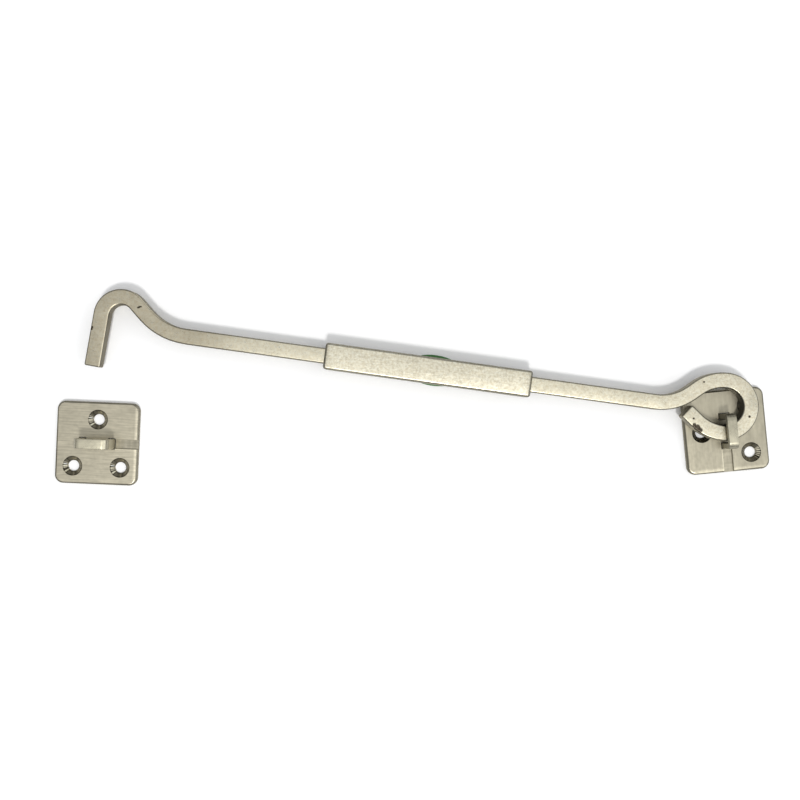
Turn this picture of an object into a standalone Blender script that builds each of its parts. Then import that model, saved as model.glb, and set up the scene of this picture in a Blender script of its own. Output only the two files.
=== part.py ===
"""Window stay: a hooked bar linked to a pivot plate, with the keeper plate that the hook drops into.

Metres, +Z up. The origin is the middle of the pivot plate's back face, +X runs along the bar from
the hook to the eye, and both plates lie with their backs on Z = 0. The stay swings about the
middle of its eye, whose round band slides through the pivot plate's staple.
"""

import math

import bmesh
import bpy
from mathutils import Matrix, Vector

# Plates
PLATE_SIDE = 0.0300
PLATE_THICKNESS = 0.0022
PLATE_CORNER_RADIUS = 0.0030
PLATE_RIM_RADIUS = 0.0007
SCREW_HOLE_RADIUS = 0.0020
COUNTERSINK_RADIUS = 0.0036
COUNTERSINK_DEPTH = 0.0016
SCREW_INSET = 0.0064
GROOVE_DEPTH = 0.0009
PIVOT_PLATE_TURN = 13.4
KEEPER_PLATE_TURN = 5.4

# Staples, bent from flat strip
STRIP_WIDTH = 0.0035
STRIP_THICKNESS = 0.0020
WINDOW_WIDTH = 0.0086
WINDOW_HEIGHT = 0.0074
STAPLE_BEND_RADIUS = 0.0005
STAPLE_EDGE_RADIUS = 0.00025
LEG_RECESS = 0.0003

# Square bar and its eye
BAR_SIDE = 0.0056
BAR_EDGE_RADIUS = 0.00055
EYE_INNER_RADIUS = 0.00665
EYE_BEARING = 109.8
EYE_OFFSET_IN_WINDOW = 0.0004
EYE_SHOULDER_RADIUS = 0.0150
EYE_SHOULDER_START = 90.0
NECK_SLOPE = 43.0
NECK_FILLET_RADIUS = 0.0180
EYE_ABOVE_BAR = 0.00168
TAIL_RADIUS = 0.0155
TAIL_LENGTH = 0.0051
TAIL_SLOPE = 36.8

# Hook
HOOK_EASE_RADIUS = 0.0230
RAMP_SLOPE = 41.3
RAMP_LENGTH = 0.00535
MOUTH_RADIUS = 0.0043
PRONG_LEAN = 2.2
PRONG_LENGTH = 0.0194
HOOKED_SWING = 11.9
KEEPER_OUTSET = 0.0010

# Grip sleeve over the two rods, and the paper label under it
EYE_TO_SLEEVE = 0.0701
SLEEVE_LENGTH = 0.0748
SLEEVE_SIDE = 0.0096
SLEEVE_EDGE_RADIUS = 0.0009
SLEEVE_TO_HOOK = 0.0506
ROD_END_GAP = 0.0048
LABEL_LENGTH = 0.0218
LABEL_WIDTH = 0.0113
LABEL_THICKNESS = 0.00020
LABEL_SIDE_SHIFT = 0.0004
LABEL_FROM_EYE = 0.1050

# Clearances
SEAT_GAP = 0.0003
RUNNING_GAP = 0.0004

# Fineness of the curves
ARC_STEP = 6.0
HOLE_SEGMENTS = 40
CUT_MARGIN = 0.0010
EDGE_SEGMENTS = 2
RIM_SEGMENTS = 3
SHARP_ANGLE = 40.0

EYE_MID_RADIUS = EYE_INNER_RADIUS + BAR_SIDE / 2
BAR_LOW = PLATE_THICKNESS + RUNNING_GAP
BAR_MIDDLE = BAR_LOW + BAR_SIDE / 2
EYE_REACH = EYE_MID_RADIUS - EYE_OFFSET_IN_WINDOW
ROD_ENGAGEMENT = (SLEEVE_LENGTH - ROD_END_GAP) / 2
SWING_AXIS = Vector((
    EYE_REACH * math.cos(math.radians(EYE_BEARING)),
    EYE_REACH * math.sin(math.radians(EYE_BEARING)),
    0.0,
))


def clear_scene():
    for found in list(bpy.data.objects):
        bpy.data.objects.remove(found, do_unlink=True)


def make_material(name, colour, roughness, metallic):
    material = bpy.data.materials.new(name)
    material.use_nodes = True
    shader = material.node_tree.nodes["Principled BSDF"]
    shader.inputs["Base Color"].default_value = (*colour, 1.0)
    shader.inputs["Roughness"].default_value = roughness
    shader.inputs["Metallic"].default_value = metallic
    return material


def make_mount(name, place, turn):
    """An empty that carries a group of pieces."""
    mount = bpy.data.objects.new(name, None)
    mount.location = place
    mount.rotation_euler = (0.0, 0.0, math.radians(turn))
    bpy.context.scene.collection.objects.link(mount)
    return mount


def add_object(name, shape, parent, material=None):
    """Turns a bmesh into a linked object under its mount."""
    bmesh.ops.recalc_face_normals(shape, faces=shape.faces)
    mesh = bpy.data.meshes.new(name)
    shape.to_mesh(mesh)
    shape.free()
    piece = bpy.data.objects.new(name, mesh)
    piece.parent = parent
    bpy.context.scene.collection.objects.link(piece)
    if material is not None:
        mesh.materials.append(material)
    return piece


def shade_round(piece):
    """Smooth shading over the bends, crisp at the square edges."""
    piece.data.shade_smooth()
    piece.data.set_sharp_from_angle(angle=math.radians(SHARP_ANGLE))


def soften_edges(piece, radius):
    """Rounds the square edges and leaves the steps along a curve alone."""
    bevel = piece.modifiers.new("edges", "BEVEL")
    bevel.width = radius
    bevel.segments = EDGE_SEGMENTS
    bevel.limit_method = "ANGLE"
    bevel.angle_limit = math.radians(SHARP_ANGLE)


def cut_away(piece, cutter):
    cutter.hide_render = True
    cutter.display_type = "WIRE"
    cut = piece.modifiers.new(cutter.name, "BOOLEAN")
    cut.operation = "DIFFERENCE"
    cut.solver = "EXACT"
    cut.object = cutter


def direction(heading):
    return Vector((math.cos(math.radians(heading)), math.sin(math.radians(heading))))


def trace(start, heading, moves):
    """Follows lines (length,) and arcs (radius, turn), and gives each station's point and heading."""
    point = Vector(start)
    stations = [(point.copy(), heading)]
    for move in moves:
        if len(move) == 1:
            point = point + direction(heading) * move[0]
            stations.append((point.copy(), heading))
            continue
        radius, turn = move
        steps = max(1, math.ceil(abs(turn) / ARC_STEP))
        side = 90.0 if turn > 0 else -90.0
        middle = point + direction(heading + side) * radius
        for step in range(1, steps + 1):
            turned = heading + turn * step / steps
            point = middle - direction(turned + side) * radius
            stations.append((point.copy(), turned))
        heading += turn
    return stations


def band(stations, width, low, high):
    """A strip of the given width that follows the stations, between two heights."""
    shape = bmesh.new()
    rings = []
    for point, heading in stations:
        aside = direction(heading + 90.0) * (width / 2)
        left, right = point + aside, point - aside
        corners = ((left, low), (right, low), (right, high), (left, high))
        rings.append([shape.verts.new((place.x, place.y, height)) for place, height in corners])
    for before, after in zip(rings, rings[1:]):
        for side in range(4):
            following = (side + 1) % 4
            shape.faces.new((before[side], before[following], after[following], after[side]))
    shape.faces.new(rings[0])
    shape.faces.new(list(reversed(rings[-1])))
    return shape


def block(size_x, size_y, low, high, middle=(0.0, 0.0)):
    shape = bmesh.new()
    bmesh.ops.create_cube(shape, size=1.0)
    bmesh.ops.scale(shape, vec=(size_x, size_y, high - low), verts=shape.verts)
    bmesh.ops.translate(shape, vec=(*middle, (low + high) / 2), verts=shape.verts)
    return shape


def turned(profile, segments):
    """Revolves an outline of (radius, height) points, axis to axis, about +Z."""
    shape = bmesh.new()
    points = [shape.verts.new((radius, 0.0, height)) for radius, height in profile]
    edges = [shape.edges.new(pair) for pair in zip(points, points[1:])]
    bmesh.ops.spin(
        shape, geom=points + edges, cent=(0.0, 0.0, 0.0), axis=(0.0, 0.0, 1.0),
        angle=math.tau, steps=segments,
    )
    bmesh.ops.remove_doubles(shape, verts=shape.verts, dist=0.000001)
    bmesh.ops.recalc_face_normals(shape, faces=shape.faces)
    return shape


def rounded_square(side, radius):
    """Corner points of a square with round corners, anticlockwise."""
    reach = side / 2 - radius
    steps = math.ceil(90.0 / ARC_STEP)
    points = []
    for corner in range(4):
        middle = direction(45.0 + 90.0 * corner) * (reach * math.sqrt(2.0))
        for step in range(steps + 1):
            points.append(middle + direction(90.0 * corner + 90.0 * step / steps) * radius)
    return points


def plate_blank():
    """The plate before it is cut: a flat square whose upper rim is rounded."""
    shape = bmesh.new()
    outline = rounded_square(PLATE_SIDE, PLATE_CORNER_RADIUS)
    floor = shape.faces.new([shape.verts.new((point.x, point.y, 0.0)) for point in outline])
    raised = bmesh.ops.extrude_face_region(shape, geom=[floor])["geom"]
    top = [found for found in raised if isinstance(found, bmesh.types.BMVert)]
    bmesh.ops.translate(shape, vec=(0.0, 0.0, PLATE_THICKNESS), verts=top)
    rim = [edge for edge in shape.edges if all(vert in top for vert in edge.verts)]
    bmesh.ops.bevel(
        shape, geom=rim, offset=PLATE_RIM_RADIUS, segments=RIM_SEGMENTS, profile=0.5, affect="EDGES",
    )
    return shape


def screw_holes():
    """Three countersunk holes: one above the staple and a pair below it."""
    reach = PLATE_SIDE / 2 - SCREW_INSET
    profile = [
        (0.0, PLATE_THICKNESS + CUT_MARGIN),
        (COUNTERSINK_RADIUS, PLATE_THICKNESS + CUT_MARGIN),
        (COUNTERSINK_RADIUS, PLATE_THICKNESS),
        (SCREW_HOLE_RADIUS, PLATE_THICKNESS - COUNTERSINK_DEPTH),
        (SCREW_HOLE_RADIUS, -CUT_MARGIN),
        (0.0, -CUT_MARGIN),
    ]
    shape = bmesh.new()
    for place in ((0.0, reach), (-reach, -reach), (reach, -reach)):
        hole = turned(profile, HOLE_SEGMENTS)
        bmesh.ops.translate(hole, vec=(*place, 0.0), verts=hole.verts)
        scratch = bpy.data.meshes.new("hole")
        hole.to_mesh(scratch)
        hole.free()
        shape.from_mesh(scratch)
        bpy.data.meshes.remove(scratch)
    return shape


def leg_offset():
    """From the middle of the staple to the middle of a leg."""
    return (WINDOW_WIDTH + STRIP_THICKNESS) / 2


def build_plate(name, mount, groove_side, material):
    """A plate with its screw holes, two leg slots and the groove from one leg to the rim."""
    plate = add_object(name, plate_blank(), mount, material)
    cut_away(plate, add_object(name + "_holes", screw_holes(), mount))
    slot_length = STRIP_THICKNESS + 2 * SEAT_GAP
    slot_width = STRIP_WIDTH + 2 * SEAT_GAP
    for side in (-1, 1):
        slot = block(
            slot_length, slot_width, -CUT_MARGIN, PLATE_THICKNESS + CUT_MARGIN,
            (side * leg_offset(), 0.0),
        )
        cut_away(plate, add_object(f"{name}_slot_{side}", slot, mount))
    inner, outer = leg_offset(), PLATE_SIDE / 2 + CUT_MARGIN
    groove = block(
        outer - inner, STRIP_WIDTH, PLATE_THICKNESS - GROOVE_DEPTH, PLATE_THICKNESS + CUT_MARGIN,
        (groove_side * (inner + outer) / 2, 0.0),
    )
    cut_away(plate, add_object(name + "_groove", groove, mount))
    return plate


def build_staple(name, mount, material):
    """A flat strip bent into a bridge, its legs let into the plate's slots."""
    bend = STAPLE_BEND_RADIUS + STRIP_THICKNESS / 2
    top = PLATE_THICKNESS + WINDOW_HEIGHT + STRIP_THICKNESS / 2
    leg = top - bend - LEG_RECESS
    bridge = 2 * (leg_offset() - bend)
    stations = trace(
        (leg_offset(), LEG_RECESS), 90.0,
        [(leg,), (bend, 90.0), (bridge,), (bend, 90.0), (leg,)],
    )
    shape = band(stations, STRIP_THICKNESS, -STRIP_WIDTH / 2, STRIP_WIDTH / 2)
    bmesh.ops.rotate(shape, cent=(0.0, 0.0, 0.0), matrix=Matrix.Rotation(math.pi / 2, 3, "X"),
                     verts=shape.verts)
    staple = add_object(name, shape, mount, material)
    shade_round(staple)
    soften_edges(staple, STAPLE_EDGE_RADIUS)
    return staple


def shoulder_end():
    """Where the eye's wider upper arc ends and its neck begins, from the swing axis."""
    shift = direction(EYE_SHOULDER_START) * (EYE_MID_RADIUS - EYE_SHOULDER_RADIUS)
    return shift + direction(90.0 + NECK_SLOPE) * EYE_SHOULDER_RADIUS


def eye_path():
    """The eye rod's middle line, from the tail's tip round the eye and along to the sleeve."""
    tail_middle = direction(-90.0) * (EYE_MID_RADIUS - TAIL_RADIUS)
    tail_bend = tail_middle - direction(90.0 - TAIL_SLOPE) * TAIL_RADIUS
    tip = tail_bend - direction(-TAIL_SLOPE) * TAIL_LENGTH
    fillet_drop = NECK_FILLET_RADIUS * (1 - math.cos(math.radians(NECK_SLOPE)))
    fillet_run = NECK_FILLET_RADIUS * math.sin(math.radians(NECK_SLOPE))
    drop = shoulder_end().y + EYE_ABOVE_BAR - fillet_drop
    neck = drop / math.sin(math.radians(NECK_SLOPE))
    bar_start = shoulder_end().x - neck * math.cos(math.radians(NECK_SLOPE)) - fillet_run
    moves = [
        (TAIL_LENGTH,),
        (TAIL_RADIUS, TAIL_SLOPE),
        (EYE_MID_RADIUS, 90.0 + EYE_SHOULDER_START),
        (EYE_SHOULDER_RADIUS, 90.0 + NECK_SLOPE - EYE_SHOULDER_START),
        (neck,),
        (NECK_FILLET_RADIUS, -NECK_SLOPE),
        (EYE_TO_SLEEVE + ROD_ENGAGEMENT + bar_start,),
    ]
    return trace(tip, -TAIL_SLOPE, moves)


def hook_path():
    """The hook rod's middle line, from inside the sleeve out to the prong's tip."""
    bend = MOUTH_RADIUS + BAR_SIDE / 2
    start = (-EYE_TO_SLEEVE - SLEEVE_LENGTH + ROD_ENGAGEMENT, -EYE_ABOVE_BAR)
    moves = [
        (ROD_ENGAGEMENT + SLEEVE_TO_HOOK,),
        (HOOK_EASE_RADIUS, -RAMP_SLOPE),
        (RAMP_LENGTH,),
        (bend, 90.0 - PRONG_LEAN + RAMP_SLOPE),
        (PRONG_LENGTH,),
    ]
    return trace(start, 180.0, moves)


def build_rod(name, stations, mount, material):
    rod = add_object(name, band(stations, BAR_SIDE, BAR_LOW, BAR_LOW + BAR_SIDE), mount, material)
    shade_round(rod)
    soften_edges(rod, BAR_EDGE_RADIUS)
    return rod


def build_sleeve(mount, material):
    """The thick square grip, with a square bore right through for the two rods."""
    middle = (-EYE_TO_SLEEVE - SLEEVE_LENGTH / 2, -EYE_ABOVE_BAR)
    outer, bore = SLEEVE_SIDE / 2, BAR_SIDE / 2 + SEAT_GAP
    sleeve = add_object(
        "grip_sleeve",
        block(SLEEVE_LENGTH, SLEEVE_SIDE, BAR_MIDDLE - outer, BAR_MIDDLE + outer, middle),
        mount, material,
    )
    soften_edges(sleeve, SLEEVE_EDGE_RADIUS)
    cutter = block(
        SLEEVE_LENGTH + 2 * CUT_MARGIN, 2 * bore, BAR_MIDDLE - bore, BAR_MIDDLE + bore, middle,
    )
    cut_away(sleeve, add_object("sleeve_bore", cutter, mount))
    return sleeve


def build_label(mount, material):
    """The plain oval label stuck under the sleeve, a little off its middle line."""
    top = BAR_MIDDLE - SLEEVE_SIDE / 2 - SEAT_GAP
    shape = bmesh.new()
    bmesh.ops.create_circle(shape, cap_ends=True, radius=0.5, segments=HOLE_SEGMENTS)
    bmesh.ops.scale(shape, vec=(LABEL_LENGTH, LABEL_WIDTH, 1.0), verts=shape.verts)
    raised = bmesh.ops.extrude_face_region(shape, geom=list(shape.faces))["geom"]
    upper = [found for found in raised if isinstance(found, bmesh.types.BMVert)]
    bmesh.ops.translate(shape, vec=(0.0, 0.0, LABEL_THICKNESS), verts=upper)
    place = (-LABEL_FROM_EYE, LABEL_SIDE_SHIFT - EYE_ABOVE_BAR, top - LABEL_THICKNESS)
    bmesh.ops.translate(shape, vec=place, verts=shape.verts)
    return add_object("oval_label", shape, mount, material)


def keeper_place():
    """The middle of the keeper: where the prong's root comes when the stay has swung to hooked,
    and a little further out, because the prong leans outwards as it enters."""
    prong_root = hook_path()[-2][0]
    reach = (prong_root + prong_root.normalized() * KEEPER_OUTSET).to_3d()
    return SWING_AXIS + Matrix.Rotation(math.radians(HOOKED_SWING), 3, "Z") @ reach


def build_stay():
    plate_steel = make_material("plate_steel", (0.46, 0.43, 0.34), 0.38, 1.0)
    staple_steel = make_material("staple_steel", (0.52, 0.49, 0.40), 0.34, 1.0)
    bar_steel = make_material("bar_steel", (0.55, 0.51, 0.41), 0.42, 1.0)
    sleeve_steel = make_material("sleeve_steel", (0.68, 0.64, 0.52), 0.40, 1.0)
    label_green = make_material("label_green", (0.10, 0.24, 0.08), 0.55, 0.0)

    pivot = make_mount("pivot_mount", (0.0, 0.0, 0.0), 90.0 + PIVOT_PLATE_TURN)
    build_plate("pivot_plate", pivot, -1, plate_steel)
    build_staple("pivot_staple", pivot, staple_steel)

    keeper = make_mount("keeper_mount", keeper_place(), KEEPER_PLATE_TURN)
    build_plate("keeper_plate", keeper, 1, plate_steel)
    build_staple("keeper_staple", keeper, staple_steel)

    swing = make_mount("swing_axis", SWING_AXIS, 0.0)
    build_rod("eye_rod", eye_path(), swing, bar_steel)
    build_rod("hook_rod", hook_path(), swing, bar_steel)
    build_sleeve(swing, sleeve_steel)
    build_label(swing, label_green)


clear_scene()
build_stay()
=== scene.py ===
"""Looks of the window stay: camera, studio light, floor, and the satin nickel finishes.

Metres, in the CAD's frame. The camera looks straight down at the middle of the photograph.
A gain multiplies a finish's tone: below 1 it darkens, above 1 it lightens. The word "photo" in
a comment means the main view.
"""

import math
from typing import NamedTuple

import bpy
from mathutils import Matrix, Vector


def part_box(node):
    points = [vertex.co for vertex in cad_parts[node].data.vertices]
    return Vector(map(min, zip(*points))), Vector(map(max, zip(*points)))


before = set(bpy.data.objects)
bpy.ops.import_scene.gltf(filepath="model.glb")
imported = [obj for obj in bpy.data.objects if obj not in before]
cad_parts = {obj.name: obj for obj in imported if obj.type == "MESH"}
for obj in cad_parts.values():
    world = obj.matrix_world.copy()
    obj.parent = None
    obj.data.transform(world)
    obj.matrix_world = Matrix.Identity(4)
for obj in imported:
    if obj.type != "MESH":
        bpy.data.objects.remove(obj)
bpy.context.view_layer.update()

MM = 0.001
ORIGIN = (0.0, 0.0, 0.0)
FLATTEN = (1.0, 1.0, 0.0)
WHITE = (1.0, 1.0, 1.0)

# Camera
CAMERA_PLACE = (-0.11899, -0.00518, 0.4)
CAMERA_TURN = math.radians(7.9)
CAMERA_LENS = 49.14
CAMERA_SENSOR = 36.0

# Key light: a high sun, tilted towards the bottom of the photo
KEY_TILT = math.radians(23.0)
KEY_BEARING = math.radians(-84.0)
KEY_STRENGTH = 1.38
KEY_ANGLE = math.radians(8.0)
KEY_COLOUR = (1.0, 0.988, 0.97)

# Sky: the heights it brightens between, its dimmer left side, and a window on its right
SKY_COLOUR = (0.97, 0.985, 1.0)
SKY_RISE = (0.02, 0.66)
SKY_EDGE = 0.17
SKY_TOP = 0.815
SKY_ASIDE = (-0.38, -0.06)
SKY_ASIDE_GAINS = (0.87, 1.02)
WINDOW_ASIDE = (0.45, 0.70)
WINDOW_RISE = (0.15, 0.40)
WINDOW_STRENGTH = 0.70
BACKDROP = 1.0

FLOOR_SIDE = 4.0
FLOOR_DROP = 0.00005
FLOOR_COLOUR = (0.97, 0.97, 0.975)

# Sizes that the CAD sets. PLATE_TOP is the heights that the top's mask rises between.
PIVOT_TURN = math.radians(103.4)
KEEPER_TURN = math.radians(5.4)
HOLE_REACH = 0.0086
HOLE_PLACES = ((0.0, HOLE_REACH), (-HOLE_REACH, -HOLE_REACH), (HOLE_REACH, -HOLE_REACH))
COUNTERSINK_RADIUS = 0.0036
SCREW_HOLE_RADIUS = 0.0020
LEG_OFFSET = 0.0053
GROOVE_HALF = 0.00180
GROOVE_LEVEL = 0.00175
PLATE_TOP = (1.6 * MM, 2.0 * MM)
EYE_MIDDLE = (-0.003066, 0.008515, 0.0)
EYE_WALL = 0.0070
BAR_TOP = 0.0082

# Broken edges and smooth shading
EDGE_WIDTH = 0.00012
EDGE_SEGMENTS = 2
CRISP = math.radians(35.0)
ROUND = math.radians(50.0)
MERGE_DISTANCE = 1e-6

# Colours
# Painted light: the keeper's plate and staple are lighter copies of the pivot's nickel
KEEPER_NICKEL = (0.475, 0.437, 0.337)
PIVOT_NICKEL = (0.425, 0.392, 0.300)
KEEPER_STAPLE = (0.57, 0.532, 0.405)
PIVOT_STAPLE = (0.44, 0.412, 0.315)
BAR_NICKEL = (0.648, 0.608, 0.486)
# Painted shade: the gain that darkens the hooked end of the bar
HOOK_END_SHADE = (0.755, 0.735, 0.71)
SLEEVE_NICKEL = (0.662, 0.625, 0.508)
CHIP_DARK = (0.045, 0.036, 0.026)
LABEL_GREEN = (0.05, 0.175, 0.04)
BRIGHTEST = (0.95, 0.95, 0.95)

# How each channel moves with the warm cast and with its grey opposite, and the levels of the
# pattern that they lie at
CAST_BROWN = (0.7, -0.5, -2.6)
CAST_GREY = (-0.4, 0.2, 0.6)
CAST_RANGE = (0.35, 0.65)

# Roughness and relief
PLATE_ROUGHNESS = 0.33
STAPLE_ROUGHNESS = 0.30
BAR_ROUGHNESS = 0.31
ROUGHNESS_SPREAD = 0.05
ROUGHNESS_GRAIN = 1.1 * MM
SIDE_ROUGHNESS = 0.35
RELIEF_STRENGTH = 0.35
RELIEF_DEPTH = 0.02 * MM

# The levels that most noise lies between, and how far a face's normal points up or down
NOISE_RANGE = (0.3, 0.7)
UPRIGHT_LEVELS = (0.15, 0.60)
SHARP_EDGE_LEVELS = (0.97, 0.9995)
BENT_EDGE_LEVELS = (0.60, 0.93)
WALL_LEVELS = (0.02, 0.25)

# Worn spots: their ragged outline, and each one's x and y in metres and reach in millimetres
CHIP_GRAIN = 0.6 * MM
CHIP_GRAIN_RANGE = (0.25, 0.75)
CHIP_RAGGED = 0.30
CHIP_FADE = (0.85, 1.1)
CHIP_COVER = 0.96
EYE_CHIPS = (
    (-0.01305, 0.00039, 0.8), (-0.01194, -0.00032, 1.15), (-0.01078, -0.0011, 0.95),
    (-0.01367, 0.00273, 0.4), (0.00603, 0.00619, 0.45), (-0.01184, 0.01621, 0.35),
)
HOOK_CHIPS = (
    (-0.23194, 0.00559, 0.4), (-0.23206, 0.00485, 0.4), (-0.21673, 0.01473, 0.35),
    (-0.21627, 0.01505, 0.45), (-0.21571, 0.01523, 0.35),
)

# Painted light and shade: soft darker and lighter stretches of the eye's band: x, y and gain
EYE_STRETCHES = ((0.0070, 0.0122, 0.88), (0.0069, 0.0045, 1.11))


class PlateLook(NamedTuple):
    """What differs between the two plates."""

    colour: tuple
    turn: float  # of the staple's own axis
    groove_side: float  # the end of that axis that the groove runs to
    band_width: float
    band_contrast: float
    # groove_gain: the pivot's lifts its groove with painted light against the shade in it; the
    # keeper's darkens its groove
    groove_gain: float
    lit_side: float  # the side of the groove with a lit line
    chatter_way: tuple  # the side of each countersink with tool marks
    chatter_metal: float  # metallic on the raised marks


PIVOT_LOOK = PlateLook(
    colour=PIVOT_NICKEL, turn=PIVOT_TURN, groove_side=-1.0, band_width=1.6 * MM,
    band_contrast=0.10, groove_gain=1.06, lit_side=1.0, chatter_way=(-0.10, -0.995, 0.0),
    chatter_metal=0.30,
)
KEEPER_LOOK = PlateLook(
    colour=KEEPER_NICKEL, turn=KEEPER_TURN, groove_side=1.0, band_width=0.55 * MM,
    band_contrast=0.16, groove_gain=0.86, lit_side=-1.0, chatter_way=(-0.98, -0.20, 0.0),
    chatter_metal=1.0,
)


class Graph:
    """Short calls for building one node tree."""

    def __init__(self, tree):
        self.tree = tree
        tree.nodes.clear()

    def add(self, kind, settings=None, **inputs):
        node = self.tree.nodes.new(kind)
        for key, value in (settings or {}).items():
            setattr(node, key, value)
        for key, value in inputs.items():
            self.feed(node, key.replace("_", " "), value)
        return node

    def feed(self, node, socket, value):
        """Links an output, or sets a plain value. Digits pick the socket by its place."""
        target = node.inputs[int(socket) if socket.isdigit() else socket]
        if isinstance(value, bpy.types.NodeSocket):
            self.tree.links.new(value, target)
        else:
            target.default_value = value

    def feed_all(self, node, values):
        for place, value in enumerate(values):
            self.feed(node, str(place), value)

    def math(self, operation, *values):
        node = self.add("ShaderNodeMath", {"operation": operation})
        self.feed_all(node, values)
        return node.outputs[0]

    def vector(self, operation, *values):
        node = self.add("ShaderNodeVectorMath", {"operation": operation})
        self.feed_all(node, values)
        plain = operation in ("DISTANCE", "LENGTH", "DOT_PRODUCT")
        return node.outputs["Value" if plain else "Vector"]

    def spread(self, value, low, high, to_low=0.0, to_high=1.0, smooth=False):
        """Maps low…high to to_low…to_high, and holds the ends."""
        style = "SMOOTHSTEP" if smooth else "LINEAR"
        node = self.add("ShaderNodeMapRange", {"interpolation_type": style})
        self.feed_all(node, (value, low, high, to_low, to_high))
        return node.outputs[0]

    def fade(self, value, low, high, smooth=False):
        """A mask that is whole below low and gone above high."""
        return self.spread(value, low, high, 1.0, 0.0, smooth)

    def both(self, *masks):
        """The overlap of several masks."""
        whole = masks[0]
        for mask in masks[1:]:
            whole = self.math("MULTIPLY", whole, mask)
        return whole

    def blend(self, factor, first, second):
        node = self.add("ShaderNodeMix", {"data_type": "RGBA"})
        for place, item in ((0, factor), (6, first), (7, second)):
            self.feed(node, str(place), item)
        return node.outputs[2]

    def noise(self, coords, scale, detail=2.0, roughness=0.5):
        node = self.add("ShaderNodeTexNoise", Vector=coords, Scale=scale, Detail=detail,
                        Roughness=roughness)
        return node.outputs[0]

    def local(self, coords, place=ORIGIN, turn=0.0, size=(1.0, 1.0, 1.0)):
        """Coordinates in a frame with its own place, turn about +Z and unit along each axis."""
        node = self.add("ShaderNodeMapping", {"vector_type": "TEXTURE"}, Vector=coords,
                        Location=place, Rotation=(0.0, 0.0, turn), Scale=size)
        return node.outputs[0]

    def streaks(self, coords, along, across, detail=3.0):
        """Brushed lines along the local X axis."""
        stretched = self.local(coords, size=(along, across, across))
        return self.noise(stretched, 1.0, detail, roughness=0.6)

    def axes(self, coords):
        return self.add("ShaderNodeSeparateXYZ", Vector=coords).outputs


def rgba(colour, gain=1.0):
    return (colour[0] * gain, colour[1] * gain, colour[2] * gain, 1.0)


def new_material(name):
    """A material with an empty node graph and its output."""
    material = bpy.data.materials.new(name)
    material.use_nodes = True
    graph = Graph(material.node_tree)
    return material, graph, graph.add("ShaderNodeOutputMaterial")


def middle_of(node):
    """The middle of a plate's box, on its back."""
    low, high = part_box(node)
    middle = (low + high) / 2
    return (middle.x, middle.y, 0.0)


class Finish:
    """One nickel finish: it gathers tone, roughness and relief, and closes into a material."""

    def __init__(self, name, colour, place=ORIGIN, turn=0.0):
        self.material, self.graph, self.output = new_material(name)
        self.shader = self.graph.add("ShaderNodeBsdfPrincipled")
        source = self.graph.add("ShaderNodeTexCoord").outputs
        self.row, self.facing = source["Object"], source["Normal"]
        self.coords = self.graph.local(self.row, place, turn)
        self.tone = colour
        self.relief = 0.0
        self.upright = 0.0
        self.metal = 1.0

    def vary(self, pattern, amount, relief=0.0):
        """Darkens and lightens by a pattern, which can also stand in the relief."""
        self.scale(self.graph.spread(pattern, *NOISE_RANGE, 1.0 - amount, 1.0 + amount))
        if relief:
            height = self.graph.math("MULTIPLY", pattern, relief)
            self.relief = self.graph.math("ADD", self.relief, height)

    def scale(self, gain):
        """Multiplies the tone everywhere."""
        node = self.graph.add("ShaderNodeVectorMath", {"operation": "SCALE"}, Scale=gain)
        self.graph.feed(node, "0", self.tone)
        self.tone = node.outputs[0]

    def shade(self, mask, gain):
        """Multiplies the tone where the mask is."""
        self.scale(self.graph.spread(mask, 0.0, 1.0, 1.0, gain))

    def sides(self, gain, edge_shade_gain, edge_levels=SHARP_EDGE_LEVELS):
        """Upright faces are duller and darker, partly a duller finish and partly painted shade;
        edges get painted shade.
        """
        level = self.graph.math("ABSOLUTE", self.graph.axes(self.facing)["Z"])
        self.upright = self.graph.fade(level, *UPRIGHT_LEVELS)
        self.shade(self.upright, gain)
        edge = self.graph.both(self.graph.fade(level, *edge_levels),
                               self.graph.spread(level, *WALL_LEVELS))
        self.shade(edge, edge_shade_gain)

    def warm(self, pattern, amount):
        """Lets a brownish cast come and go by a pattern, at about the same lightness."""
        brown, grey = (
            rgba([1.0 + amount * move for move in moves]) for moves in (CAST_BROWN, CAST_GREY)
        )
        hue = self.graph.blend(self.graph.spread(pattern, *CAST_RANGE), brown, grey)
        self.tone = self.graph.vector("MULTIPLY", self.tone, hue)

    def chips(self, spots):
        """Worn dark spots with ragged outlines, on the bar's top."""
        graph = self.graph
        low, high = CHIP_FADE
        for x, y, size in spots:
            reach = size * MM
            grain = graph.noise(self.row, 1 / CHIP_GRAIN, detail=3.0, roughness=0.7)
            ragged = graph.spread(grain, *CHIP_GRAIN_RANGE,
                                  -CHIP_RAGGED * reach, CHIP_RAGGED * reach)
            distance = graph.vector("DISTANCE", self.row, (x, y, BAR_TOP))
            away = graph.math("ADD", distance, ragged)
            mask = graph.spread(away, low * reach, high * reach, CHIP_COVER, 0.0)
            self.tone = graph.blend(mask, self.tone, rgba(CHIP_DARK))

    def close(self, roughness):
        """Links what was gathered to the shader."""
        graph = self.graph
        grain = graph.noise(self.coords, 1 / ROUGHNESS_GRAIN, detail=3.0, roughness=0.6)
        rough = graph.spread(grain, *NOISE_RANGE,
                             roughness - ROUGHNESS_SPREAD, roughness + ROUGHNESS_SPREAD)
        duller = graph.math("MULTIPLY", self.upright, SIDE_ROUGHNESS)
        bump = graph.add("ShaderNodeBump", Strength=RELIEF_STRENGTH, Distance=RELIEF_DEPTH,
                         Height=self.relief)
        graph.feed(self.shader, "Base Color", graph.vector("MINIMUM", self.tone, BRIGHTEST))
        graph.feed(self.shader, "Metallic", self.metal)
        graph.feed(self.shader, "Roughness", graph.math("ADD", rough, duller))
        graph.feed(self.shader, "Normal", bump.outputs[0])
        graph.feed(self.output, "Surface", self.shader.outputs[0])
        return self.material


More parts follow.
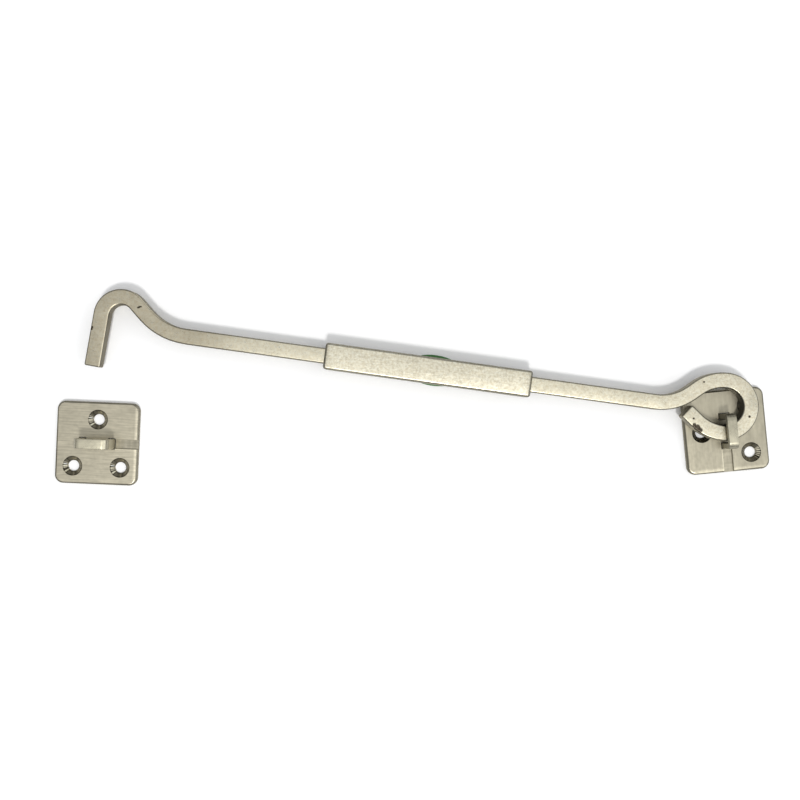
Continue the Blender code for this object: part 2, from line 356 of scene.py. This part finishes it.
# Plates: brushed bands and finer lines in them, faint clouds, and the lit rim at one end
BAND_LENGTH = 9 * MM
BAND_RELIEF = 0.8
LINE_SIZE = (5 * MM, 0.22 * MM)
LINE_SHARE = 0.5
LINE_RELIEF = 0.6
CLOUD_SIZE = 5 * MM
CLOUD_CONTRAST = 0.07
END_RIM = (13.3 * MM, 14.0 * MM)
END_RIM_GAIN = 1.45
# Upright sides darker partly by finish, partly by painted shade; edges darkened with painted
# shade
PLATE_SIDE_SHADE_GAIN = 0.75
PLATE_EDGE_SHADE_GAIN = 0.45


def plate_finish(name, node, look):
    """A brushed plate: bands along the staple, a groove with its own gain, and turned
    countersinks.
    """
    finish = Finish(name, look.colour, middle_of(node), look.turn)
    graph = finish.graph
    finish.vary(graph.streaks(finish.coords, BAND_LENGTH, look.band_width, detail=4.0),
                look.band_contrast, BAND_RELIEF)
    finish.vary(graph.streaks(finish.coords, *LINE_SIZE),
                LINE_SHARE * look.band_contrast, LINE_RELIEF)
    clouds = graph.noise(finish.coords, 1 / CLOUD_SIZE, detail=3.0, roughness=0.6)
    finish.vary(clouds, CLOUD_CONTRAST)

    along, across, height = (graph.axes(finish.coords)[axis] for axis in "XYZ")
    outwards = graph.math("MULTIPLY", along, look.groove_side)
    on_top = graph.spread(height, *PLATE_TOP)
    add_groove(finish, look, outwards, across, height, on_top)
    for place in HOLE_PLACES:
        add_countersink(finish, look, place)
    finish.shade(graph.both(on_top, graph.spread(outwards, *END_RIM)), END_RIM_GAIN)
    finish.sides(PLATE_SIDE_SHADE_GAIN, PLATE_EDGE_SHADE_GAIN)
    return finish.close(PLATE_ROUGHNESS)


# Groove: where it starts and its soft borders, milling marks across it, and the lit line
GROOVE_START = (LEG_OFFSET - 0.8 * MM, LEG_OFFSET)
GROOVE_BORDER = (GROOVE_HALF - 0.03 * MM, GROOVE_HALF + 0.03 * MM)
GROOVE_RISE = (GROOVE_LEVEL - 0.2 * MM, GROOVE_LEVEL)
MILLING_SIZE = (1.6 * MM, 30 * MM, 1.0)
MILLING_LEVELS = (0.35, 0.6)
MILLING_GAIN = 0.82
LIT_LINE_PLACE = GROOVE_HALF + 0.12 * MM
LIT_LINE_HALF = (0.08 * MM, 0.25 * MM)
LIT_LINE_START = (5.0 * MM, 6.0 * MM)
LIT_LINE_GAIN = 1.40


def add_groove(finish, look, outwards, across, height, on_top):
    """The milled groove from the staple to the plate's end, and the lit line along one side."""
    graph = finish.graph
    groove = graph.both(
        graph.spread(outwards, *GROOVE_START),
        graph.fade(graph.math("ABSOLUTE", across), *GROOVE_BORDER),
        graph.fade(height, *GROOVE_RISE),
    )
    marks = graph.noise(graph.local(finish.coords, size=MILLING_SIZE), 1.0, detail=1.0)
    # Painted light lifts the pivot's groove against its shade; the keeper's groove is darkened
    finish.shade(groove, look.groove_gain)
    finish.shade(graph.both(groove, graph.spread(marks, *MILLING_LEVELS)), MILLING_GAIN)

    beside = graph.math("SUBTRACT", across, look.lit_side * LIT_LINE_PLACE)
    lit = graph.both(on_top, graph.fade(graph.math("ABSOLUTE", beside), *LIT_LINE_HALF),
                     graph.spread(outwards, *LIT_LINE_START))
    finish.shade(lit, LIT_LINE_GAIN)


# Countersinks: a bowl lightened with painted light, dark and bright flecks that are partly
# ragged notches and partly painted reflection, fine rings, and a throat darkened with painted
# shade
BOWL_BORDER = (COUNTERSINK_RADIUS - 0.08 * MM, COUNTERSINK_RADIUS + 0.06 * MM)
BOWL_LIGHT_GAIN = 1.45
FLECK_SCALE = 1.9
DARK_FLECKS = (0.36, 0.44)
DARK_FLECK_GAIN = 0.60
BRIGHT_FLECKS = (0.56, 0.62)
BRIGHT_FLECK_GAIN = 1.8
RING_PITCH = 0.36 * MM
RING_GAIN = 0.85
THROAT_BORDER = (SCREW_HOLE_RADIUS + 0.15 * MM, SCREW_HOLE_RADIUS + 0.5 * MM)
THROAT_SHADE_GAIN = 0.55

# Tool marks on one side of a bowl, their raised ridges lightened with painted highlight, and a
# dark line of painted shade round its brim
CHATTER_SECTOR = (0.70, 0.86)
CHATTER_SCALE = 7.0
RIDGES = (0.47, 0.53)
RIDGE_HIGHLIGHT_GAIN = 3.6
DIPS = (0.40, 0.46)
DIP_GAIN = 0.30
BRIM_RADIUS = COUNTERSINK_RADIUS - 0.16 * MM
BRIM_HALF = (0.08 * MM, 0.22 * MM)
BRIM_SHADE_GAIN = 0.45


def add_countersink(finish, look, place):
    """A turned bowl: flecks and fine rings, tool marks on one side, painted light on bowl and
    ridges, painted shade on brim and throat.
    """
    graph = finish.graph
    flat = graph.vector("MULTIPLY", finish.coords, FLATTEN)
    arm = graph.vector("SUBTRACT", flat, (*place, 0.0))
    away = graph.vector("LENGTH", arm)
    way = graph.vector("NORMALIZE", arm)
    bowl = graph.fade(away, *BOWL_BORDER)
    flecks = graph.noise(way, FLECK_SCALE, detail=2.0, roughness=0.55)
    rings = graph.math("SINE", graph.math("MULTIPLY", away, math.tau / RING_PITCH))
    # Painted light lightens the bowl; the flecks are partly notches, partly painted reflection;
    # painted shade darkens the throat
    finish.shade(bowl, BOWL_LIGHT_GAIN)
    finish.shade(graph.both(bowl, graph.fade(flecks, *DARK_FLECKS)), DARK_FLECK_GAIN)
    finish.shade(graph.both(bowl, graph.spread(flecks, *BRIGHT_FLECKS)), BRIGHT_FLECK_GAIN)
    finish.shade(graph.both(bowl, graph.spread(rings, -1.0, 1.0)), RING_GAIN)
    finish.shade(graph.fade(away, *THROAT_BORDER), THROAT_SHADE_GAIN)

    turned = graph.vector("DOT_PRODUCT", way, look.chatter_way)
    sector = graph.both(bowl, graph.spread(turned, *CHATTER_SECTOR))
    own_way = graph.vector("ADD", way, (*place, 0.0))
    marks = graph.noise(own_way, CHATTER_SCALE, detail=0.0)
    raised = graph.both(sector, graph.spread(marks, *RIDGES))
    metal = graph.spread(raised, 0.0, 1.0, 1.0, look.chatter_metal)
    finish.metal = graph.math("MINIMUM", finish.metal, metal)
    # Painted highlight on the raised tool marks
    finish.shade(raised, RIDGE_HIGHLIGHT_GAIN)
    finish.shade(graph.both(sector, graph.fade(marks, *DIPS)), DIP_GAIN)

    # Painted shade: the dark line round the brim
    from_brim = graph.math("ABSOLUTE", graph.math("SUBTRACT", away, BRIM_RADIUS))
    finish.shade(graph.fade(from_brim, *BRIM_HALF), BRIM_SHADE_GAIN)


# Staples: a painted highlight that brightens one end
END_HIGHLIGHT_RISE = (-1.0 * MM, 4.0 * MM)
END_HIGHLIGHT_GAIN = 1.22
STAPLE_STREAK = (9 * MM, 0.30 * MM)
STAPLE_CONTRAST = 0.12
STAPLE_RELIEF = 0.7
STAPLE_CLOUD_SIZE = 2.5 * MM
STAPLE_CLOUD_CONTRAST = 0.07
# Upright sides darker partly by finish, partly by painted shade; edges darkened with painted
# shade
STAPLE_SIDE_SHADE_GAIN = 0.80
STAPLE_EDGE_SHADE_GAIN = 0.55


def staple_finish(name, colour, place, turn, bright_end):
    """A flat strip with a painted highlight that brightens it towards one end."""
    finish = Finish(name, colour, place, turn)
    graph = finish.graph
    along = graph.math("MULTIPLY", graph.axes(finish.coords)["X"], bright_end)
    # Painted highlight towards the bright end
    finish.shade(graph.spread(along, *END_HIGHLIGHT_RISE, smooth=True), END_HIGHLIGHT_GAIN)
    finish.vary(graph.streaks(finish.coords, *STAPLE_STREAK), STAPLE_CONTRAST, STAPLE_RELIEF)
    finish.vary(graph.noise(finish.coords, 1 / STAPLE_CLOUD_SIZE), STAPLE_CLOUD_CONTRAST)
    finish.sides(STAPLE_SIDE_SHADE_GAIN, STAPLE_EDGE_SHADE_GAIN, BENT_EDGE_LEVELS)
    return finish.close(STAPLE_ROUGHNESS)


# Bar: strokes along it, a mottled grain with a warm cast, soft clouds, and pits
STROKE_SIZE = (6 * MM, 0.3 * MM)
STROKE_RELIEF = 0.5
MOTTLE_SIZE = 0.8 * MM
MOTTLE_RELIEF = 1.0
MOTTLE_CAST = 0.035
BAR_CLOUD_SIZE = 3.5 * MM
BAR_CLOUD_CONTRAST = 0.03
PIT_SIZE = 0.8 * MM
PIT_LEVELS = (0.70, 0.75)
PIT_GAIN = 0.72


def bar_finish(name, colour, strokes, grain, side_shade_gain, edge_shade_gain, pitted=True):
    """Satin bar: fine grain over faint strokes along it, pits, duller sides partly in painted
    shade, and painted shade on edges.
    """
    finish = Finish(name, colour)
    graph = finish.graph
    finish.vary(graph.streaks(finish.coords, *STROKE_SIZE), strokes, STROKE_RELIEF)
    mottle = graph.noise(finish.coords, 1 / MOTTLE_SIZE, detail=3.0, roughness=0.7)
    finish.vary(mottle, grain, MOTTLE_RELIEF)
    finish.vary(graph.noise(finish.coords, 1 / BAR_CLOUD_SIZE), BAR_CLOUD_CONTRAST)
    finish.warm(mottle, MOTTLE_CAST)
    if pitted:
        pits = graph.noise(finish.coords, 1 / PIT_SIZE, detail=1.0, roughness=0.4)
        finish.shade(graph.spread(pits, *PIT_LEVELS), PIT_GAIN)
    finish.sides(side_shade_gain, edge_shade_gain)
    return finish


# Eye: its inner rim and wall in painted shade, its neck, and how far the soft stretches of
# painted light and shade reach
INNER_RIM = (EYE_WALL - 0.10 * MM, EYE_WALL + 0.35 * MM)
INNER_RIM_SHADE_GAIN = 0.65
INNER_WALL = (EYE_WALL, EYE_WALL + 3.0 * MM)
INNER_WALL_SHADE_GAIN = 0.42
NECK_RISE = (-0.046, -0.036)
NECK_FALL = (-0.034, -0.025)
NECK_GAIN = 0.92
STRETCH_FADE = (1.0 * MM, 4.5 * MM)


def eye_finish():
    """The eye: painted shade on its inner rim and wall, a darker neck, spots of wear on its
    tail, and soft stretches of painted light and shade.
    """
    eye = bar_finish("eye_rod_nickel", BAR_NICKEL, strokes=0.06, grain=0.18,
                     side_shade_gain=0.50, edge_shade_gain=0.40)
    graph = eye.graph
    away = graph.vector("DISTANCE", graph.vector("MULTIPLY", eye.row, FLATTEN), EYE_MIDDLE)
    # Painted shade on the inner rim and the inner wall
    eye.shade(graph.fade(away, *INNER_RIM), INNER_RIM_SHADE_GAIN)
    wall = graph.fade(away, *INNER_WALL, smooth=True)
    eye.shade(graph.both(eye.upright, wall), INNER_WALL_SHADE_GAIN)
    eye.chips(EYE_CHIPS)

    along = graph.axes(eye.row)["X"]
    neck = graph.both(graph.spread(along, *NECK_RISE, smooth=True),
                      graph.fade(along, *NECK_FALL, smooth=True))
    eye.shade(neck, NECK_GAIN)
    # Painted light and shade in soft stretches along the band
    for x, y, gain in EYE_STRETCHES:
        from_spot = graph.vector("DISTANCE", eye.row, (x, y, BAR_TOP))
        eye.shade(graph.fade(from_spot, *STRETCH_FADE, smooth=True), gain)
    return eye.close(BAR_ROUGHNESS)


# Hook: where the painted shade on the hooked end fades out along X, and the painted highlight on
# the rim that faces the main view's right
HOOK_END_SHADE_FADE = (-0.195, -0.176)
RIGHT_RIM_X = (0.15, 0.35)
RIGHT_RIM_Z = (0.35, 0.60)
RIGHT_RIM_HIGHLIGHT_GAIN = 3.4


def hook_finish():
    """The hook: painted shade on its hooked end, a painted highlight on the rim at the main
    view's right, and spots of wear.
    """
    hook = bar_finish("hook_rod_nickel", BAR_NICKEL, strokes=0.06, grain=0.10,
                      side_shade_gain=0.46, edge_shade_gain=0.42)
    graph = hook.graph
    along = graph.axes(hook.row)["X"]
    # Painted shade darkens the hooked end
    shaded_end_tone = graph.vector("MULTIPLY", hook.tone, HOOK_END_SHADE)
    hook.tone = graph.blend(graph.fade(along, *HOOK_END_SHADE_FADE, smooth=True), hook.tone, shaded_end_tone)
    facing = graph.axes(hook.facing)
    # Painted highlight on the rim that faces the main view's right
    right_rim = graph.both(graph.spread(facing["X"], *RIGHT_RIM_X),
                           graph.spread(graph.math("ABSOLUTE", facing["Z"]), *RIGHT_RIM_Z))
    hook.shade(right_rim, RIGHT_RIM_HIGHLIGHT_GAIN)
    hook.chips(HOOK_CHIPS)
    return hook.close(BAR_ROUGHNESS)


# Grip: shaded ends, and painted light that falls along X
GRIP_END = (0.4 * MM, 2.2 * MM)
GRIP_END_GAIN = 0.76
GRIP_RUN = (-0.143, -0.104)
GRIP_RUN_LIGHT_GAINS = (1.08, 0.96)


def sleeve_finish():
    """The grip: paler, shaded at both ends, and a little brighter towards the hook by painted
    light.
    """
    sleeve = bar_finish("sleeve_nickel", SLEEVE_NICKEL, strokes=0.13, grain=0.20,
                        side_shade_gain=0.55, edge_shade_gain=0.48, pitted=False)
    graph = sleeve.graph
    low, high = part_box("grip_sleeve")
    along = graph.axes(sleeve.row)["X"]
    for end, side in ((low.x, 1.0), (high.x, -1.0)):
        inwards = graph.math("MULTIPLY", graph.math("SUBTRACT", along, end), side)
        sleeve.shade(graph.fade(inwards, *GRIP_END, smooth=True), GRIP_END_GAIN)
    # Painted light: brighter towards the hook, dimmer towards the eye
    sleeve.scale(graph.spread(along, *GRIP_RUN, *GRIP_RUN_LIGHT_GAINS, smooth=True))
    return sleeve.close(BAR_ROUGHNESS)


# Label: fine fibres between two shades of its green
PAPER_ROUGHNESS = 0.42
FIBRE_SIZE = 0.4 * MM
FIBRE_SHADES = (0.8, 1.2)
FIBRE_STRENGTH = 0.3
FIBRE_DEPTH = 0.01 * MM


def paper_finish(name):
    """Plain green coated paper."""
    material, graph, output = new_material(name)
    shader = graph.add("ShaderNodeBsdfPrincipled", Roughness=PAPER_ROUGHNESS)
    coords = graph.add("ShaderNodeTexCoord").outputs["Object"]
    fibres = graph.noise(coords, 1 / FIBRE_SIZE, detail=4.0, roughness=0.7)
    colour = graph.blend(fibres, *(rgba(LABEL_GREEN, shade) for shade in FIBRE_SHADES))
    bump = graph.add("ShaderNodeBump", Strength=FIBRE_STRENGTH, Distance=FIBRE_DEPTH,
                     Height=fibres)
    graph.feed(shader, "Base Color", colour)
    graph.feed(shader, "Normal", bump.outputs[0])
    graph.feed(output, "Surface", shader.outputs[0])
    return material


def smoothing_group(name, limit):
    """Geometry nodes that join the triangles and shade them smooth up to a sharp angle."""
    group = bpy.data.node_groups.new(name, "GeometryNodeTree")
    for in_out in ("INPUT", "OUTPUT"):
        group.interface.new_socket("Geometry", in_out=in_out,
                                   socket_type="NodeSocketGeometry")
    graph = Graph(group)
    entry = graph.add("NodeGroupInput")
    leave = graph.add("NodeGroupOutput")
    merge = graph.add("GeometryNodeMergeByDistance", Geometry=entry.outputs[0],
                      Distance=MERGE_DISTANCE)
    smooth = graph.add("GeometryNodeSetShadeSmooth", {"domain": "FACE"},
                       Geometry=merge.outputs[0], Shade_Smooth=True)
    angle = graph.add("GeometryNodeInputMeshEdgeAngle")
    sharp = graph.add("FunctionNodeCompare", {"operation": "GREATER_THAN"})
    graph.feed_all(sharp, (angle.outputs[0], limit))
    edges = graph.add("GeometryNodeSetShadeSmooth", {"domain": "EDGE"},
                      Geometry=smooth.outputs[0], Selection=sharp.outputs[0],
                      Shade_Smooth=False)
    graph.feed(leave, "0", edges.outputs[0])
    return group


def dress(node, material, group, edge_width=0.0):
    """Gives a CAD node its finish, smooth bends, flat faces that stay flat, and broken edges."""
    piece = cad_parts[node]
    if not piece.material_slots:
        piece.data.materials.append(material)
    for slot in piece.material_slots:
        slot.material = material
    smooth = piece.modifiers.new("smooth", "NODES")
    smooth.node_group = group
    if edge_width:
        edges = piece.modifiers.new("edges", "BEVEL")
        edges.width = edge_width
        edges.segments = EDGE_SEGMENTS
        edges.limit_method = "ANGLE"
        edges.angle_limit = CRISP
    flats = piece.modifiers.new("flat_faces", "WEIGHTED_NORMAL")
    flats.keep_sharp = True


def dress_all():
    crisp = smoothing_group("smooth_crisp", CRISP)
    rounded = smoothing_group("smooth_round", ROUND)
    dress("pivot_plate", plate_finish("pivot_plate_nickel", "pivot_plate", PIVOT_LOOK),
          crisp, EDGE_WIDTH)
    dress("keeper_plate", plate_finish("keeper_plate_nickel", "keeper_plate", KEEPER_LOOK),
          crisp, EDGE_WIDTH)
    dress("pivot_staple",
          staple_finish("pivot_staple_nickel", PIVOT_STAPLE, ORIGIN, PIVOT_TURN, -1.0), rounded)
    dress("keeper_staple",
          staple_finish("keeper_staple_nickel", KEEPER_STAPLE, middle_of("keeper_plate"),
                        KEEPER_TURN, 1.0), rounded)
    dress("eye_rod", eye_finish(), rounded)
    dress("hook_rod", hook_finish(), rounded)
    dress("grip_sleeve", sleeve_finish(), rounded)
    dress("oval_label", paper_finish("green_paper"), rounded)


def make_camera():
    data = bpy.data.cameras.new("camera")
    data.lens = CAMERA_LENS
    data.sensor_width = CAMERA_SENSOR
    camera = bpy.data.objects.new("camera", data)
    camera.location = CAMERA_PLACE
    camera.rotation_euler = (0.0, 0.0, CAMERA_TURN)
    bpy.context.scene.collection.objects.link(camera)
    bpy.context.scene.camera = camera


def make_key():
    data = bpy.data.lights.new("key", "SUN")
    data.energy = KEY_STRENGTH
    data.angle = KEY_ANGLE
    data.color = KEY_COLOUR
    key = bpy.data.objects.new("key", data)
    bearing = KEY_BEARING + CAMERA_TURN
    towards = Vector((
        math.sin(KEY_TILT) * math.cos(bearing),
        math.sin(KEY_TILT) * math.sin(bearing),
        math.cos(KEY_TILT),
    ))
    key.rotation_euler = towards.to_track_quat("Z", "Y").to_euler()
    bpy.context.scene.collection.objects.link(key)


def make_world():
    """A soft room: bright overhead and on the photo's right, dim round the horizon.

    The camera itself sees plain white behind the floor.
    """
    world = bpy.data.worlds.new("studio")
    world.use_nodes = True
    bpy.context.scene.world = world
    graph = Graph(world.node_tree)
    output = graph.add("ShaderNodeOutputWorld")
    source = graph.add("ShaderNodeTexCoord").outputs["Generated"]
    way = graph.axes(graph.local(source, turn=CAMERA_TURN))
    aside, height = way["X"], way["Z"]
    dome = graph.spread(height, *SKY_RISE, SKY_EDGE, SKY_TOP, smooth=True)
    left = graph.spread(aside, *SKY_ASIDE, *SKY_ASIDE_GAINS, smooth=True)
    window = graph.both(graph.spread(aside, *WINDOW_ASIDE, smooth=True),
                        graph.spread(height, *WINDOW_RISE, smooth=True), WINDOW_STRENGTH)
    light = graph.math("ADD", graph.math("MULTIPLY", dome, left), window)

    seen = graph.add("ShaderNodeLightPath").outputs["Is Camera Ray"]
    unseen = graph.math("SUBTRACT", 1.0, seen)
    strength = graph.math("ADD", graph.math("MULTIPLY", light, unseen),
                          graph.math("MULTIPLY", seen, BACKDROP))
    colour = graph.blend(seen, rgba(SKY_COLOUR), rgba(WHITE))
    background = graph.add("ShaderNodeBackground", Color=colour, Strength=strength)
    graph.feed(output, "Surface", background.outputs[0])


def make_floor():
    mesh = bpy.data.meshes.new("floor")
    half = FLOOR_SIDE / 2
    corners = [(x, y, -FLOOR_DROP)
               for x, y in ((-half, -half), (half, -half), (half, half), (-half, half))]
    mesh.from_pydata(corners, [], [(0, 1, 2, 3)])
    floor = bpy.data.objects.new("floor", mesh)
    material, graph, output = new_material("white_board")
    shader = graph.add("ShaderNodeBsdfDiffuse", Color=rgba(FLOOR_COLOUR))
    graph.feed(output, "Surface", shader.outputs[0])
    mesh.materials.append(material)
    bpy.context.scene.collection.objects.link(floor)


bpy.context.scene.view_settings.view_transform = "Standard"
make_camera()
make_key()
make_world()
make_floor()
dress_all()

bpy.context.view_layer.update()
